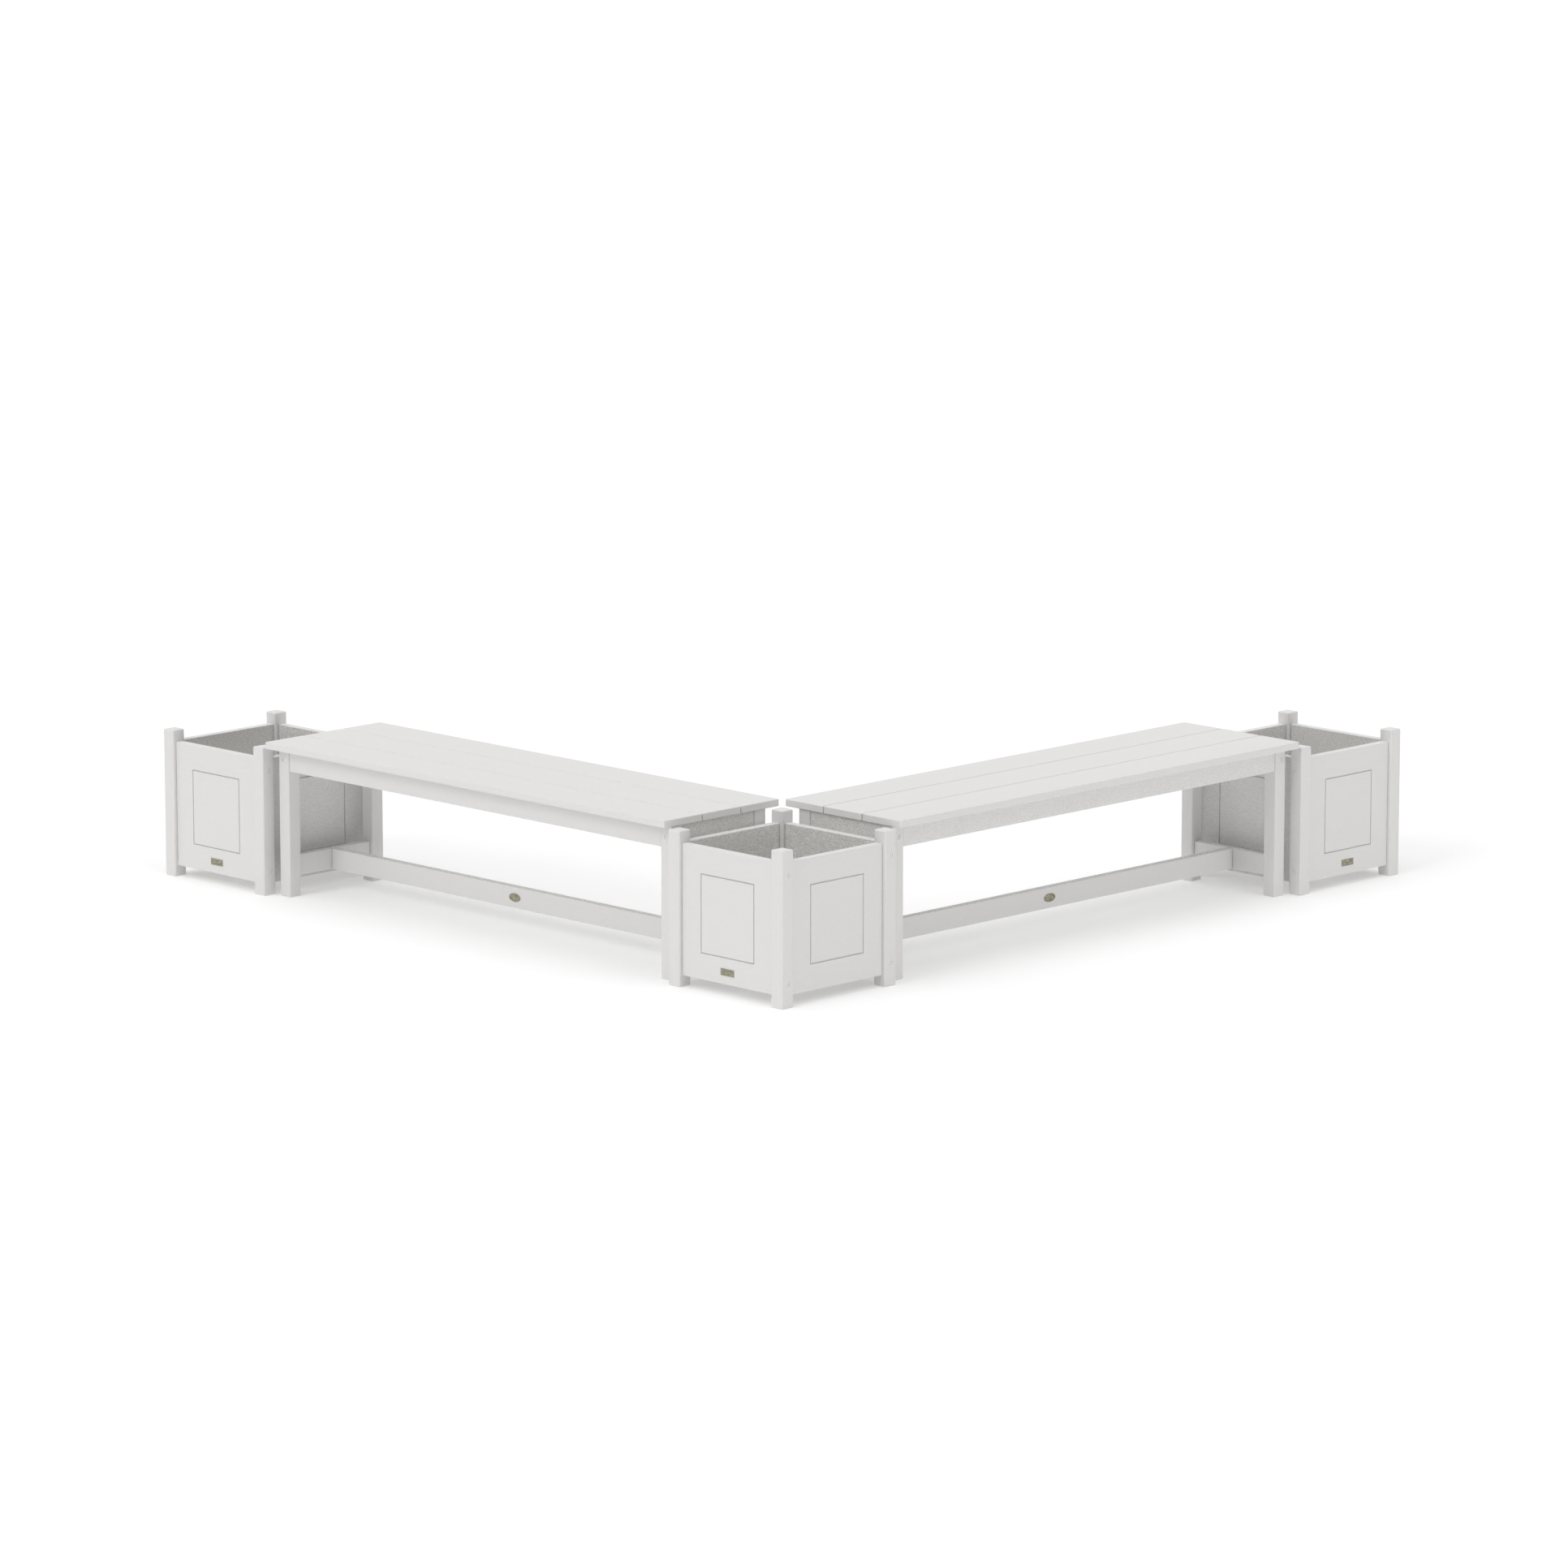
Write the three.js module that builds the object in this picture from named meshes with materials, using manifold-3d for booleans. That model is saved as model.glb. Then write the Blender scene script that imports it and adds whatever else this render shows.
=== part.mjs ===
// An L-shaped garden set in plastic lumber: two backless benches between three square planters.
// Millimetres, +Z up, standing on z = 0, with the origin in the middle of the set's footprint.
import * as THREE from 'three';
import { mergeVertices } from 'three/addons/utils/BufferGeometryUtils.js';
import Module from 'manifold-3d';

const wasm = await Module();
wasm.setup();

// Lumber stock
const post_side = 40;
const post_round = 3.2;
const board_thickness = 22;
const board_round = 2.4;
const corner_round_share = 0.25; // extra round at an outline's corner, as a share of the edge round
const round_steps = 2; // facets across an edge round

// Joints
const joint_gap = 0.3; // between two pieces that are screwed together
const cut_overrun = 2; // how far a cutter stands out of the face that it cuts

// Seat: boards side by side, with a gap that lets the rain through
const seat_length = 1524;
const seat_board_count = 3;
const seat_board_width = 134.5;
const seat_board_thickness = 19;
const seat_board_gap = 3;
const seat_round = 2.4;

// Bench frame
const leg_height = 402;
const seat_end_overhang = 11;
const seat_side_overhang = 37;
const apron_width = 60;
const apron_recess = 2;
const stretcher_width = 57;
const stretcher_rise = 54;
const batten_width = 60;

// Planter
const planter_side = 406.5;
const planter_post_height = 402;
const panel_top_drop = 31.5;
const panel_foot_rise = 30;
const panel_recess = 9;
const groove_inset = 69;
const groove_width = 3;
const groove_depth = 4.5;

// Planter floor: slats with a tongue at each end, which lies in a housing inside the front and back panels
const floor_slat_count = 2;
const floor_slat_thickness = 16;
const floor_rise = 50;
const floor_drain_gap = 8;
const housing_depth = 6;
const tongue_thickness = 10;

// Screw seats: shallow round pockets for the screw heads
const screw_seat_diameter = 15;
const screw_seat_depth = 1.5;
const screw_seat_sides = 14;
const post_screw_inset = 63;

// Set layout
const bench_planter_gap = 12.7;

// Sizes that follow from those above
const seat_depth = seat_board_count * seat_board_width + (seat_board_count - 1) * seat_board_gap;
const frame_length = seat_length - 2 * seat_end_overhang;
const frame_depth = seat_depth - 2 * seat_side_overhang;
const panel_height = planter_post_height - panel_top_drop - panel_foot_rise;
const panel_width = planter_side - 2 * post_side - 2 * joint_gap;
const panel_offset = planter_side / 2 - panel_recess - board_thickness / 2;
const floor_span = 2 * panel_offset - board_thickness;
const arm_length = 2 * planter_side + 2 * bench_planter_gap + seat_length;
const seat_past_planter = Math.max(0, (seat_depth - planter_side) / 2);

const lumber = new THREE.MeshStandardMaterial({ color: 0xe4e3e1, roughness: 0.55, metalness: 0 });
const x_axis = new THREE.Vector3(1, 0, 0);
const y_axis = new THREE.Vector3(0, 1, 0);
const ends = [['left', -1], ['right', 1]];
const faces = [['front', -1], ['back', 1]];

// A block centred on the origin and extruded along one axis, with all its edges rounded
function rounded_block(size, round, axis) {
  const spans = { x: [size.y, size.z, size.x], y: [size.x, size.z, size.y], z: [size.x, size.y, size.z] };
  const [width, height, depth] = spans[axis];
  const corner = round * corner_round_share;
  const u = width / 2 - round - corner;
  const v = height / 2 - round - corner;
  const outline = new THREE.Shape();
  outline.absarc(u, v, corner, 0, Math.PI / 2);
  outline.absarc(-u, v, corner, Math.PI / 2, Math.PI);
  outline.absarc(-u, -v, corner, Math.PI, 3 * Math.PI / 2);
  outline.absarc(u, -v, corner, 3 * Math.PI / 2, 2 * Math.PI);
  const block = new THREE.ExtrudeGeometry(outline, {
    depth: depth - 2 * round,
    bevelThickness: round,
    bevelSize: round,
    bevelSegments: round_steps,
    curveSegments: 1,
  });
  block.translate(0, 0, round - depth / 2);
  if (axis === 'y') block.rotateX(Math.PI / 2);
  if (axis === 'x') block.rotateZ(Math.PI / 2).rotateY(Math.PI / 2);
  return block;
}

function to_solid(geometry) {
  const bare = geometry.clone();
  bare.deleteAttribute('normal');
  bare.deleteAttribute('uv');
  const merged = mergeVertices(bare);
  return new wasm.Manifold(new wasm.Mesh({
    numProp: 3,
    vertProperties: new Float32Array(merged.attributes.position.array),
    triVerts: new Uint32Array(merged.index.array),
  }));
}

function to_geometry(solid) {
  const { vertProperties, triVerts } = solid.getMesh();
  const indexed = new THREE.BufferGeometry();
  indexed.setAttribute('position', new THREE.BufferAttribute(vertProperties, 3));
  indexed.setIndex(new THREE.BufferAttribute(triVerts, 1));
  const geometry = indexed.toNonIndexed();
  geometry.computeVertexNormals();
  return geometry;
}

function cut(block, cutters) {
  const remainder = cutters.reduce((solid, cutter) => solid.subtract(to_solid(cutter)), to_solid(block));
  return to_geometry(remainder);
}

// The cutter for a screw head's pocket. The normal points out of the face.
function screw_seat(face_point, normal) {
  const radius = screw_seat_diameter / 2;
  const seat = new THREE.CylinderGeometry(radius, radius, screw_seat_depth + cut_overrun, screw_seat_sides);
  seat.applyQuaternion(new THREE.Quaternion().setFromUnitVectors(new THREE.Vector3(0, 1, 0), normal));
  const middle = face_point.clone().addScaledVector(normal, (cut_overrun - screw_seat_depth) / 2);
  return seat.translate(middle.x, middle.y, middle.z);
}

// The cutter for a panel's routed line: a thin rectangular ring let into the outer face, which looks along -Y
function groove_ring() {
  const ring = new THREE.Shape();
  const hole = new THREE.Path();
  for (const [path, offset] of [[ring, groove_width / 2], [hole, -groove_width / 2]]) {
    const u = panel_width / 2 - groove_inset + offset;
    const v = panel_height / 2 - groove_inset + offset;
    path.moveTo(-u, -v).lineTo(u, -v).lineTo(u, v).lineTo(-u, v).closePath();
  }
  ring.holes.push(hole);
  const cutter = new THREE.ExtrudeGeometry(ring, { depth: groove_depth + cut_overrun, bevelEnabled: false });
  cutter.rotateX(Math.PI / 2);
  return cutter.translate(0, groove_depth - board_thickness / 2, 0);
}

// The cutter for the housing that takes the floor slats' tongues, on the inner face
function floor_housing() {
  const height = tongue_thickness + 2 * joint_gap;
  const housing = new THREE.BoxGeometry(panel_width + 2 * cut_overrun, housing_depth + cut_overrun, height);
  const tongue_middle = floor_rise + tongue_thickness / 2 - (panel_foot_rise + panel_height / 2);
  return housing.translate(0, board_thickness / 2 + (cut_overrun - housing_depth) / 2, tongue_middle);
}

// A floor slat along Y: its top is cut back at both ends, up to the panels, which leaves the tongues
function floor_slat(width) {
  const size = new THREE.Vector3(width, floor_span + 2 * (housing_depth - joint_gap), floor_slat_thickness);
  const rebate_length = housing_depth + cut_overrun;
  const rebate_height = floor_slat_thickness - tongue_thickness + cut_overrun;
  const rebates = faces.map(([, way]) => {
    const rebate = new THREE.BoxGeometry(width + 2 * cut_overrun, rebate_length, rebate_height);
    const middle = way * (floor_span / 2 - joint_gap + rebate_length / 2);
    return rebate.translate(0, middle, tongue_thickness - floor_slat_thickness / 2 + rebate_height / 2);
  });
  return cut(rounded_block(size, board_round, 'z'), rebates);
}

function add_piece(group, name, geometry, place, turn = 0) {
  const piece = new THREE.Mesh(geometry, lumber.clone());
  piece.name = name;
  piece.position.copy(place);
  piece.rotation.z = turn;
  group.add(piece);
}

// The front and back panels are screwed on through the posts' outer sides, level with the panels' middle
function planter_post(side, way) {
  const block = rounded_block(new THREE.Vector3(post_side, post_side, planter_post_height), post_round, 'z');
  const screw_y = way * (post_side / 2 - panel_recess - board_thickness / 2);
  const screw_z = planter_post_height / 2 - post_screw_inset;
  const seats = [-screw_z, screw_z].map((z) => screw_seat(
    new THREE.Vector3(side * post_side / 2, screw_y, z),
    x_axis.clone().multiplyScalar(side),
  ));
  return cut(block, seats);
}

function make_planter(name) {
  const planter = new THREE.Group();
  const post_offset = (planter_side - post_side) / 2;
  for (const [end, side] of ends) {
    for (const [face, way] of faces) {
      const place = new THREE.Vector3(side * post_offset, way * post_offset, planter_post_height / 2);
      add_piece(planter, `${name}_${face}_${end}_post`, planter_post(side, way), place);
    }
  }

  const panel_size = new THREE.Vector3(panel_width, board_thickness, panel_height);
  const plain_panel = rounded_block(panel_size, board_round, 'y');
  const side_panel = cut(plain_panel, [groove_ring()]);
  const housed_panel = cut(plain_panel, [groove_ring(), floor_housing()]);
  const panels = [['front', housed_panel], ['right', side_panel], ['back', housed_panel], ['left', side_panel]];
  panels.forEach(([face, geometry], quarter) => {
    const turn = quarter * Math.PI / 2;
    const place = new THREE.Vector3(0, -panel_offset, panel_foot_rise + panel_height / 2);
    place.applyAxisAngle(new THREE.Vector3(0, 0, 1), turn);
    add_piece(planter, `${name}_${face}_panel`, geometry, place, turn);
  });

  const slat_width = (panel_width - (floor_slat_count - 1) * floor_drain_gap) / floor_slat_count;
  for (let slat = 0; slat < floor_slat_count; slat += 1) {
    const x = (slat - (floor_slat_count - 1) / 2) * (slat_width + floor_drain_gap);
    const place = new THREE.Vector3(x, 0, floor_rise + floor_slat_thickness / 2);
    add_piece(planter, `${name}_floor_slat_${slat + 1}`, floor_slat(slat_width), place);
  }
  return planter;
}

function make_bench(name) {
  const bench = new THREE.Group();
  const leg_x = (frame_length - post_side) / 2;
  const leg_y = (frame_depth - post_side) / 2;
  const apron_z = leg_height - apron_width / 2;
  const stretcher_z = stretcher_rise + stretcher_width / 2;
  const leg_block = rounded_block(new THREE.Vector3(post_side, post_side, leg_height), post_round, 'z');
  for (const [end, side] of ends) {
    for (const [face, way] of faces) {
      const seat_point = new THREE.Vector3(0, way * post_side / 2, apron_z - leg_height / 2);
      const leg = cut(leg_block, [screw_seat(seat_point, y_axis.clone().multiplyScalar(way))]);
      const place = new THREE.Vector3(side * leg_x, way * leg_y, leg_height / 2);
      add_piece(bench, `${name}_${face}_${end}_leg`, leg, place);
    }
  }

  const apron_inset = apron_recess + board_thickness / 2;
  const span_along = frame_length - 2 * post_side - 2 * joint_gap;
  const span_across = frame_depth - 2 * post_side - 2 * joint_gap;
  const apron = rounded_block(new THREE.Vector3(span_along, board_thickness, apron_width), board_round, 'y');
  for (const [face, way] of faces) {
    const place = new THREE.Vector3(0, way * (frame_depth / 2 - apron_inset), apron_z);
    add_piece(bench, `${name}_${face}_apron`, apron, place);
  }
  const end_apron = rounded_block(new THREE.Vector3(board_thickness, span_across, apron_width), board_round, 'x');
  const end_stretcher = rounded_block(
    new THREE.Vector3(board_thickness, span_across, stretcher_width), board_round, 'x');
  for (const [end, side] of ends) {
    const apron_place = new THREE.Vector3(side * (frame_length / 2 - apron_inset), 0, apron_z);
    add_piece(bench, `${name}_${end}_end_apron`, end_apron, apron_place);
    const stretcher_place = new THREE.Vector3(side * leg_x, 0, stretcher_z);
    add_piece(bench, `${name}_${end}_end_stretcher`, end_stretcher, stretcher_place);
  }
  const stretcher_length = 2 * leg_x - board_thickness - 2 * joint_gap;
  const stretcher = new THREE.Vector3(stretcher_length, board_thickness, stretcher_width);
  const stretcher_place = new THREE.Vector3(0, 0, stretcher_z);
  add_piece(bench, `${name}_centre_stretcher`, rounded_block(stretcher, board_round, 'y'), stretcher_place);

  const batten_length = frame_depth - 2 * (apron_recess + board_thickness + joint_gap);
  const batten = new THREE.Vector3(batten_width, batten_length, board_thickness);
  const batten_place = new THREE.Vector3(0, 0, leg_height - board_thickness / 2);
  add_piece(bench, `${name}_seat_batten`, rounded_block(batten, board_round, 'z'), batten_place);

  const seat_board = new THREE.Vector3(seat_length, seat_board_width, seat_board_thickness);
  for (let board = 0; board < seat_board_count; board += 1) {
    const y = (board - (seat_board_count - 1) / 2) * (seat_board_width + seat_board_gap);
    const place = new THREE.Vector3(0, y, leg_height + joint_gap + seat_board_thickness / 2);
    add_piece(bench, `${name}_seat_board_${board + 1}`, rounded_block(seat_board, seat_round, 'z'), place);
  }
  return bench;
}

// The set: the benches' and planters' fronts look outward from the L, along -Y on one arm and +X on the other
const set = new THREE.Group();
const arm_middle = planter_side / 2;
const bench_along = planter_side + bench_planter_gap + seat_length / 2;
const planter_along = arm_length - planter_side / 2;
const members = [
  [make_planter('corner_planter'), -arm_middle, arm_middle, 0],
  [make_bench('left_bench'), -bench_along, arm_middle, 0],
  [make_planter('left_planter'), -planter_along, arm_middle, 0],
  [make_bench('right_bench'), -arm_middle, bench_along, Math.PI / 2],
  [make_planter('right_planter'), -arm_middle, planter_along, Math.PI / 2],
];
for (const [member, x, y, turn] of members) {
  member.position.set(x, y, 0);
  member.rotation.z = turn;
  set.add(member);
}
const half_span = (arm_length - seat_past_planter) / 2;
set.position.set(half_span, -half_span, 0);

export default set;
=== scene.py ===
"""An L-shaped garden set in white plastic lumber: two backless benches between three square planters.

It is laid out as an add-on and run as a script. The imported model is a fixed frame: each board's size and
place is read from it, and the operators below make the boards, fittings and stage round it. Metres, +Z up.
"""

import math

import bmesh
import bpy
from bpy.props import FloatProperty, FloatVectorProperty, IntProperty, PointerProperty
from mathutils import Matrix, Vector


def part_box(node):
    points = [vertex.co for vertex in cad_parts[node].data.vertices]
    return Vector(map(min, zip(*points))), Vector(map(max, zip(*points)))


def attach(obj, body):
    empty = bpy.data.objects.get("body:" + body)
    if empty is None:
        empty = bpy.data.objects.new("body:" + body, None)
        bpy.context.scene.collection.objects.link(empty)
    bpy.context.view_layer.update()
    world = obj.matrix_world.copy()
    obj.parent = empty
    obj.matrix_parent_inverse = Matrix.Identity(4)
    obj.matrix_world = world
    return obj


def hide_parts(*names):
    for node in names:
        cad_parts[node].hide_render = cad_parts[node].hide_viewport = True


bl_info = {
    "name": "Bench and Planter Set",
    "version": (1, 0, 0),
    "blender": (4, 5, 0),
    "location": "3D Viewport > Sidebar > Garden Set",
    "description": "Makes an L-shaped set of two benches and three planters in white plastic lumber",
    "category": "Add Mesh",
}

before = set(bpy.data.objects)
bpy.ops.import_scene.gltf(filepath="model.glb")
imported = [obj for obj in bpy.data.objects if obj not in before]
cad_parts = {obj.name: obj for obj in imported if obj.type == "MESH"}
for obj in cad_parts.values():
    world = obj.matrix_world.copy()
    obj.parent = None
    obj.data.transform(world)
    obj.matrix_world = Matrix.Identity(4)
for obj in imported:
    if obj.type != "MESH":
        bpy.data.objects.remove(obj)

BODY = "root"
MM = 0.001
UP = Vector((0, 0, 1))
PLANTERS = ("corner_planter", "left_planter", "right_planter")
BENCHES = ("left_bench", "right_bench")
# The members that stand turned by a quarter, with their front out along +X instead of -Y.
TURNED_MEMBERS = ("right_planter", "right_bench")
# The endings of the nodes whose lumber is coarse all over. They lie under the seats or inside the planters,
# and the coarse grade's darker grain there is painted shade.
COARSE_AND_SHADE_PIECES = ("_end_apron", "_batten", "_floor_slat_1", "_floor_slat_2")
# The outer faces that lie in a bench's shade, each as its node and that node's local side. They get the
# shaded grade, whose stronger grain is painted shade.
SHADED_SIDES = {
    "left_planter_right_panel": ("x", 1),
    "right_planter_left_panel": ("x", -1),
    "corner_planter_left_panel": ("x", -1),
    "corner_planter_back_panel": ("y", 1),
    "right_bench_front_apron": ("y", -1),
}

OVERRUN = 2 * MM  # how far a cutter stands out of the face that it cuts
SAME_SIDE = 0.7  # cosine of the widest angle at which a face still belongs to a side
SQUARE_ON = 0.99  # the same for a face that lies flat on a side
BOARD_SHARP_ANGLE = math.radians(38)
PLATE_SHARP_ANGLE = math.radians(50)
SCREW_SHARP_ANGLE = math.radians(35)

# Facets of the round forms.
POCKET_SIDES = 40
HEAD_SEGMENTS = 36
HEAD_RINGS = 24
DRIVE_SIDES = 6
OVAL_SIDES = 48
CORNER_STEPS = 5
FLOOR_SIDES = 96

# The marks that a surface is drawn with, each as their length and width.
STREAKS = (18 * MM, 3.4 * MM)
HAIRS = (9 * MM, 0.8 * MM)
PORES = (7 * MM, 0.9 * MM)
COARSE_AND_SHADE_STREAKS = (8 * MM, 1.7 * MM)
PAINT_SPECKLE = (0.5 * MM, 0.5 * MM)
PLATE_BRUSHING = (6 * MM, 0.12 * MM)
PLATE_STAINS = (12 * MM, 4 * MM)
MARK_DETAIL = 2.0
MARK_ROUGHNESS = 0.55

# Colour ramps over those marks, each stop a place and a grey value.
PIT_STOPS = ((0.22, 1.0), (0.34, 0.0))
TONE_STOPS = ((0.36, 0.0), (0.66, 1.0))
STAIN_STOPS = ((0.36, 0.0), (0.6, 1.0))

# Shares of the marks in the lumber's relief, and how far they change its roughness.
STREAK_RELIEF = 0.75
HAIR_RELIEF = 0.25
PIT_RELIEF = 0.2
LUMBER_GLOSS_SPREAD = 0.12

# How far the marks change the colour and the roughness of the screws' paint and the plates' metal.
PAINT_MOTTLE = 0.6
PAINT_GLOSS_SPREAD = 0.1
PLATE_MOTTLE = 0.15
PLATE_GLOSS_SPREAD = 0.16

FACING = "facing"  # the attribute with the direction that a screw head looks in
WHITE = (1, 1, 1, 1)
FLOOR_RADIUS = 300
SENSOR_WIDTH = 36  # millimetres, as Blender takes it
CLIP_START = 0.1
CLIP_END = 1000

# Each lamp's name, azimuth, elevation and softness in degrees, and strength.
LAMPS = (
    ("front_lamp", 0, 35, 30, 0.72),
    ("low_front_lamp", 0, 4, 8, 0.06),
    ("right_lamp", 90, 35, 30, 0.27),
    ("low_right_lamp", 90, 4, 8, 0.26),
    ("left_lamp", -60, 20, 30, 0.30),
    ("back_lamp", 225, 30, 40, 0.08),
)


def linear(red, green, blue):
    """A colour of 0 to 255 as the linear values that a shader takes."""
    shares = [channel / 255 for channel in (red, green, blue)]
    return tuple(c / 12.92 if c <= 0.04045 else ((c + 0.055) / 1.055) ** 2.4 for c in shares)


def grey(value):
    """A linear grey with its alpha."""
    return (value, value, value, 1)


def length(name, millimetres, description):
    """A length property with its default given in millimetres."""
    return FloatProperty(name=name, description=description, default=millimetres * MM, min=0,
                         precision=4, subtype="DISTANCE", unit="LENGTH")


def share(name, value, description):
    """A property from 0 to 1."""
    return FloatProperty(name=name, description=description, default=value, min=0, max=1, subtype="FACTOR")


def colour(name, rgb, description):
    """A colour property with its default given as 0 to 255."""
    return FloatVectorProperty(name=name, description=description, default=linear(*rgb), min=0, max=1,
                               size=3, subtype="COLOR")


class GARDENSET_PG_lumber(bpy.types.PropertyGroup):
    """The boards' edges and their brushed white finish."""

    post_round: length("Post Round", 3.6, "Radius along the edges of posts and legs")
    board_round: length("Board Round", 2.6, "Radius along the edges of panels, rails and slats")
    seat_round: length("Seat Round", 2.4, "Radius along the edges of the seat boards")
    round_steps: IntProperty(name="Round Steps", description="Facets across a rounded edge",
                             default=5, min=1, max=12)
    colour: colour("Colour", (226, 225, 224), "Colour of the lumber")
    shade: colour("Grain Colour", (208, 207, 205), "Colour in the brushed lines")
    grain: share("Grain", 0.1, "Strength of the brushed lines' colour on the outer faces")
    # The coarse grade, on faces that look inward or lie under a seat: a coarser grain whose darker mean is
    # painted shade.
    coarse_colour: colour("Coarse Colour", (232, 231, 229), "Colour of the faces that look inward")
    coarse_shade: colour("Coarse Grain Colour", (187, 185, 181), "Colour in the grain of those faces")
    coarse_grain: share("Coarse Grain", 0.72, "Strength of the grain's colour on those faces")
    # The shaded grade: the coarse grain drawn stronger on faces in a bench's shade, as painted shade.
    shaded_grain: share("Shaded Grain", 0.33, "Strength of the same grain in a bench's shade")
    roughness: share("Roughness", 0.52, "Roughness of the surface")
    grain_height: length("Grain Height", 0.22, "Height of the brushed grain")


class GARDENSET_PG_joints(bpy.types.PropertyGroup):
    """The joint between the planters' floor slats and their panels."""

    tongue_thickness: length("Tongue Thickness", 10, "Thickness of the tongue at a slat's end")
    tongue_length: length("Tongue Length", 6, "Length of the tongue at a slat's end")
    clearance: length("Clearance", 0.3, "Space round a tongue in its housing")


class GARDENSET_PG_groove(bpy.types.PropertyGroup):
    """The rectangle that is routed into each side panel."""

    inset: length("Inset", 69, "Distance from the panel's edge to the middle of the groove")
    width: length("Width", 3.6, "Width of the groove")
    depth: length("Depth", 4.5, "Depth of the groove")
    steps: IntProperty(name="Steps", description="Facets across the groove's round bottom",
                       default=8, min=2, max=16)


class GARDENSET_PG_screws(bpy.types.PropertyGroup):
    """The screws through the posts and legs, and the pockets that their heads lie in."""

    pocket_diameter: length("Pocket Diameter", 15, "Diameter of the pocket for a screw head")
    pocket_depth: length("Pocket Depth", 1.5, "Depth of the pocket for a screw head")
    head_diameter: length("Head Diameter", 13.2, "Diameter of a screw head")
    head_height: length("Head Height", 1.45, "Height of a screw head's crown")
    drive_width: length("Drive Width", 3.3, "Width of the hexagonal drive in a screw head")
    post_inset: length("Post Inset", 63, "Distance of a post's screws from its ends")
    colour: colour("Colour", (238, 238, 237), "Colour of the screw heads' paint")
    wear: share("Wear", 0.1, "How much darker the paint is where it is worn")
    roughness: share("Roughness", 0.28, "Roughness of the paint where it is smoothest")
    unevenness: length("Unevenness", 0.03, "Height of the paint's fine unevenness")


class GARDENSET_PG_plates(bpy.types.PropertyGroup):
    """The small bare plates on the planters' front panels and on the benches' centre stretchers."""

    plate_width: length("Planter Plate Width", 48, "Width of a planter's plate")
    plate_height: length("Planter Plate Height", 18.5, "Height of a planter's plate")
    plate_rise: length("Planter Plate Rise", 32, "Height of a planter's plate above the panel's lower edge")
    oval_width: length("Bench Plate Width", 43.5, "Width of a bench's oval plate")
    oval_height: length("Bench Plate Height", 23.4, "Height of a bench's oval plate")
    corner_round: length("Corner Round", 1.6, "Radius of a planter plate's corners")
    thickness: length("Thickness", 1.1, "Thickness of a plate at its rim")
    rim: length("Rim", 1.3, "Width of the raised rim")
    rim_rise: length("Rim Rise", 0.33, "Height of the rim, and width of the slopes on its two sides")
    colour: colour("Colour", (170, 167, 148), "Colour of the plates' metal")
    patina: colour("Patina", (122, 117, 96), "Colour of the dark stains")
    stains: share("Stains", 0.25, "Strength of the stains on the rim and edge")
    aged_stains: share("Aged Stains", 0.85, "Strength of the stains on the sunken field")
    metallic: share("Metallic", 0.35, "How metallic the plates look")
    roughness: share("Roughness", 0.36, "Roughness of the metal where it is smoothest")
    brush_height: length("Brush Height", 0.02, "Height of the metal's brushed lines")


class GARDENSET_PG_stage(bpy.types.PropertyGroup):
    """The camera, the floor and the light."""

    azimuth: FloatProperty(name="Camera Azimuth", description="Turn of the camera round the set",
                           default=math.radians(44.983), subtype="ANGLE")
    elevation: FloatProperty(name="Camera Elevation", description="Angle of the camera above the horizon",
                             default=math.radians(10.971), subtype="ANGLE")
    distance: FloatProperty(name="Camera Distance", description="Distance from the camera to its aim",
                            default=20.38, min=1, subtype="DISTANCE", unit="LENGTH")
    aim: FloatVectorProperty(name="Camera Aim", description="Point that the camera looks at",
                             default=(-0.1777, 0.1848, 0.2), size=3, subtype="TRANSLATION", unit="LENGTH")
    lens: FloatProperty(name="Lens", description="Focal length on a sensor 36 mm wide",
                        default=170.86, min=1)
    sky: FloatProperty(name="Sky", description="Strength of the light from straight above",
                       default=1.46, min=0)
    lamps: FloatProperty(name="Lamps", description="Strength of all the soft lamps together",
                         default=1.0, min=0)
    floor_bounce: share("Floor Bounce", 0.8, "Share of the light that the floor sends back up")
    floor_glow: FloatProperty(name="Floor Glow", description="Light that the floor itself sends up",
                              default=0.285, min=0)
    shadow_depth: share("Shadow Depth", 0.8, "How much of the floor's whiteness comes from the light on it")
    shadow_fill: share("Shadow Fill", 0.26, "How much of the floor's whiteness is left in full shadow")


class Shade:
    """A node tree and, mostly, one socket in it. A sum that is written with it adds Math nodes."""

    def __init__(self, tree, socket=None):
        self.tree = tree
        self.socket = socket

    def add(self, kind, settings=None, inputs=None, output=0):
        """Adds a node, sets it up, gives its inputs their values or links, and wraps one output."""
        node = self.tree.nodes.new(kind)
        for key, value in (settings or {}).items():
            if key == "stops":
                set_stops(node.color_ramp, value)
            else:
                setattr(node, key, value)
        for key, value in (inputs or {}).items():
            feed(node.inputs[key], value)
        return Shade(self.tree, node.outputs[output] if node.outputs else None)

    def math(self, operation, first, second=0.0):
        """A Math node's result."""
        return self.add("ShaderNodeMath", {"operation": operation}, {0: first, 1: second})

    def mix(self, factor, first, second):
        """A colour between two others. The numbers are the Mix node's sockets for colours."""
        inputs = {0: factor, 6: first, 7: second}
        return self.add("ShaderNodeMix", {"data_type": "RGBA"}, inputs, output=2)

    def __add__(self, other):
        return self.math("ADD", self, other)

    def __sub__(self, other):
        return self.math("SUBTRACT", self, other)

    def __rsub__(self, other):
        return self.math("SUBTRACT", other, self)

    def __mul__(self, other):
        return self.math("MULTIPLY", self, other)

    __radd__ = __add__
    __rmul__ = __mul__


def feed(socket, value):
    """Gives an input socket a plain value, or a link from a Shade."""
    if isinstance(value, Shade):
        value.tree.links.new(value.socket, socket)
    else:
        socket.default_value = value


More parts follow.
